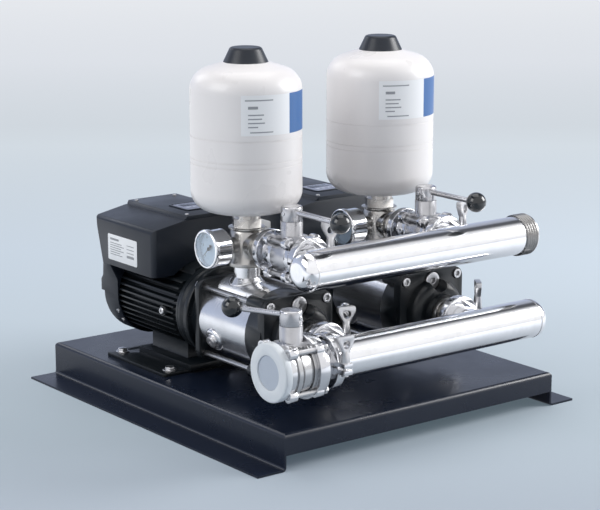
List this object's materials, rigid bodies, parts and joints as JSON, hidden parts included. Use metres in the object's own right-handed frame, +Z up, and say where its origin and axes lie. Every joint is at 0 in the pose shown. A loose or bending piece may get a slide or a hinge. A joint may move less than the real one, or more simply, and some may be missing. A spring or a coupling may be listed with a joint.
{
  "type": "booster pump",
  "caption": "Twin horizontal multistage booster pumps with drive-mounted motors, shared suction and discharge manifolds, valves, gauges and pressure tanks on one base.",
  "frame": {"origin": "on the floor, at the centre of the footprint", "axes": "+X along the manifolds to the threaded outlet, +Y from the suction side to the motors, +Z up"},
  "size_m": [0.59, 0.643, 0.541],
  "materials": {
    "base_paint": "satin powder coat",
    "motor_paint": "satin paint",
    "cast_black": "satin paint",
    "black_plastic": "fine texture",
    "knob_plastic": "gloss",
    "white_plastic": "smooth",
    "keypad_plastic": "semi-gloss",
    "fan_plastic": "smooth",
    "polished_steel": "polished stainless steel",
    "satin_steel": "satin stainless steel",
    "zinc_steel": "bright zinc",
    "nickel_plate": "nickel plate",
    "shaft_steel": "ground",
    "laminations": "varnished laminations and windings",
    "seal_rubber": "matte",
    "bladder_rubber": "matte",
    "tank_paint": "gloss enamel",
    "board_green": "solder mask",
    "dial_card": "printed dial",
    "needle_paint": "matte",
    "gauge_glass": "clear"
  },
  "bodies": {
    "frame": {"base_frame": "base_paint", "sole_plates": "motor_paint", "foot_bolts": "zinc_steel", "suction_manifold": "polished_steel", "discharge_manifold": "polished_steel", "inlet_cover": "white_plastic", "tie_rods": "satin_steel", "clamp_rings": "polished_steel", "clamp_bolts": "zinc_steel", "clamp_wing_nuts": "zinc_steel", "valve_bolts": "zinc_steel", "pump_plugs": "zinc_steel", "valve_end_caps": "polished_steel", "valve_bodies": "satin_steel", "tank_caps": "black_plastic", "tank_nipples": "nickel_plate", "gauge_cases": "polished_steel", "gauge_lenses": "gauge_glass", "gauge_dials": "dial_card", "stator_cores": "laminations", "diffusers": "satin_steel", "shaft_seals": "seal_rubber", "motor_bearings": "shaft_steel", "suction_nipples": "nickel_plate", "drive_keypads": "keypad_plastic", "drive_boards": "board_green", "drive_lids": "black_plastic", "cross_fittings": "nickel_plate", "tank_bladders": "bladder_rubber", "left_drive_box": "black_plastic", "left_motor_housing": "motor_paint", "left_fan_cowl": "black_plastic", "left_motor_bracket": "cast_black", "left_pump_sleeve": "satin_steel", "left_suction_head": "cast_black", "left_tank_shell": "tank_paint", "right_drive_box": "black_plastic", "right_motor_housing": "motor_paint", "right_fan_cowl": "black_plastic", "right_motor_bracket": "cast_black", "right_pump_sleeve": "satin_steel", "right_suction_head": "cast_black", "right_tank_shell": "tank_paint"},
    "left_rotor": {"left_rotor_shaft": "shaft_steel", "left_impellers": "satin_steel", "left_fan": "fan_plastic"},
    "left_needle": {"left_gauge_needle": "needle_paint"},
    "left_discharge_lever": {"left_discharge_ball": "polished_steel", "left_discharge_handle": "satin_steel", "left_discharge_knob": "knob_plastic"},
    "right_rotor": {"right_rotor_shaft": "shaft_steel", "right_impellers": "satin_steel", "right_fan": "fan_plastic"},
    "right_needle": {"right_gauge_needle": "needle_paint"},
    "right_discharge_lever": {"right_discharge_ball": "polished_steel", "right_discharge_handle": "satin_steel", "right_discharge_knob": "knob_plastic"},
    "inlet_lever": {"inlet_ball": "polished_steel", "inlet_handle": "satin_steel", "inlet_knob": "knob_plastic"}
  },
  "joints": [
    {"name": "left_rotor_spin", "type": "hinge", "parent": "frame", "child": "left_rotor", "pos_m": [-0.125, 0.0215, 0.14], "axis": [0, 1, 0], "continuous": true},
    {"name": "left_discharge_lever_turn", "type": "hinge", "parent": "frame", "child": "left_discharge_lever", "pos_m": [-0.125, -0.1305, 0.255], "axis": [0, 0, 1], "range_deg": [-90, 0]},
    {"name": "left_needle_swing", "type": "hinge", "parent": "frame", "child": "left_needle", "pos_m": [-0.185, -0.0225, 0.255], "axis": [1, 0, 0], "range_deg": [0, 270], "stiffness_Nm_per_rad": 0.0005},
    {"name": "right_rotor_spin", "type": "hinge", "parent": "frame", "child": "right_rotor", "pos_m": [0.125, 0.0215, 0.14], "axis": [0, 1, 0], "continuous": true},
    {"name": "right_discharge_lever_turn", "type": "hinge", "parent": "frame", "child": "right_discharge_lever", "pos_m": [0.125, -0.1305, 0.255], "axis": [0, 0, 1], "range_deg": [-90, 0]},
    {"name": "right_needle_swing", "type": "hinge", "parent": "frame", "child": "right_needle", "pos_m": [0.065, -0.0225, 0.255], "axis": [1, 0, 0], "range_deg": [0, 270], "stiffness_Nm_per_rad": 0.0005},
    {"name": "inlet_lever_turn", "type": "hinge", "parent": "frame", "child": "inlet_lever", "pos_m": [-0.232, -0.2695, 0.14], "axis": [0, 0, 1], "range_deg": [-23, 67]}
  ]
}
